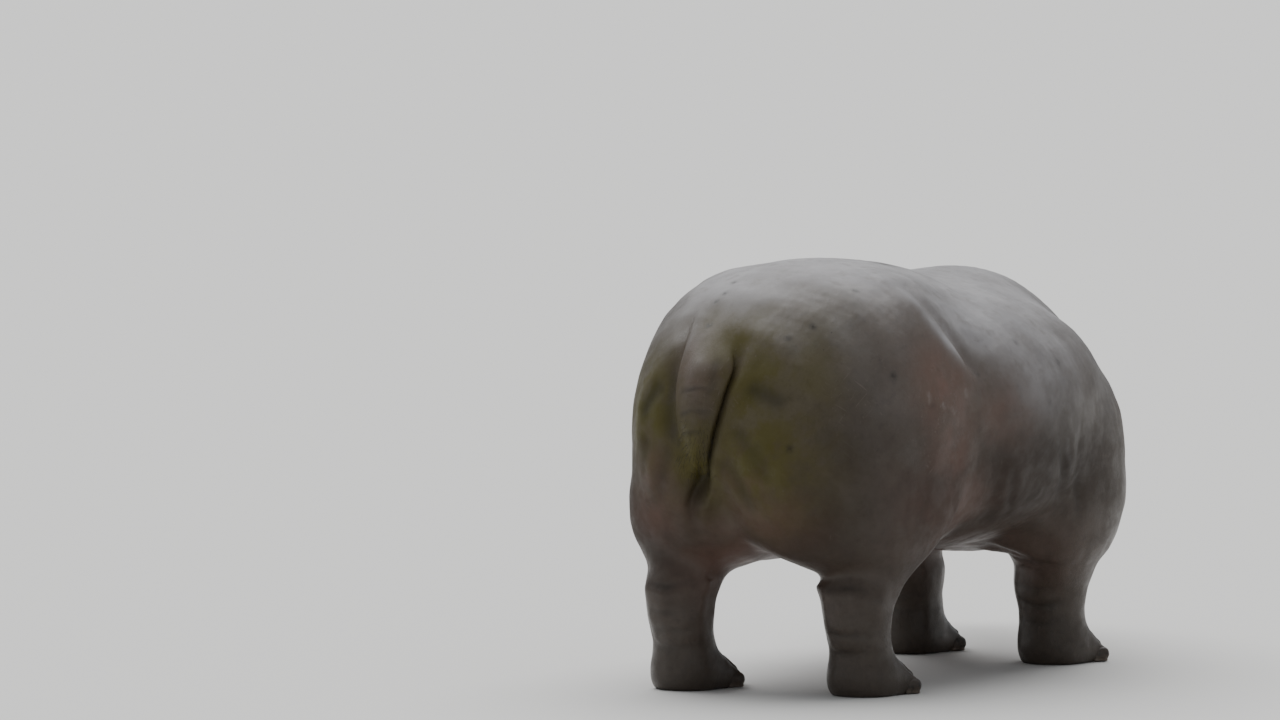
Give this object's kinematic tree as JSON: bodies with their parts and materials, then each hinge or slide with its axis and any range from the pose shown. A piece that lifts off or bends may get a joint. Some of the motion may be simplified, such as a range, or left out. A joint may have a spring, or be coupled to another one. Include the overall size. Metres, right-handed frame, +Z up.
{
  "type": "hippopotamus",
  "caption": "Life-size standing hippopotamus as a museum shows one: barrel body, short legs, small tail, broad head lowered and turned to its left.",
  "frame": {"origin": "on the floor, under the middle of the whole animal's box", "axes": "+X from tail to shoulders, +Y to the animal's left, +Z up"},
  "size_m": [2.9794, 1.4, 1.3996],
  "materials": {
    "hide": "damp bare hide, grey-brown with pinkish folds, finely wrinkled",
    "nail": "worn dark horn",
    "eye": "wet, dark brown",
    "bristle": "stiff dark hair"
  },
  "bodies": {
    "root": {"trunk": "hide", "neck": "hide", "head": "hide", "lower_jaw": "hide", "tail": "hide", "ear_left": "hide", "ear_right": "hide", "thigh_hind_left": "hide", "shank_hind_left": "hide", "upper_arm_fore_left": "hide", "forearm_fore_left": "hide", "foot_hind_left": "hide", "foot_fore_left": "hide", "thigh_hind_right": "hide", "shank_hind_right": "hide", "upper_arm_fore_right": "hide", "forearm_fore_right": "hide", "foot_hind_right": "hide", "foot_fore_right": "hide", "nail_1_hind_left": "nail", "nail_2_hind_left": "nail", "nail_3_hind_left": "nail", "nail_4_hind_left": "nail", "nail_1_hind_right": "nail", "nail_2_hind_right": "nail", "nail_3_hind_right": "nail", "nail_4_hind_right": "nail", "nail_1_fore_left": "nail", "nail_2_fore_left": "nail", "nail_3_fore_left": "nail", "nail_4_fore_left": "nail", "nail_1_fore_right": "nail", "nail_2_fore_right": "nail", "nail_3_fore_right": "nail", "nail_4_fore_right": "nail", "eye_left": "eye", "eye_right": "eye"}
  },
  "joints": []
}
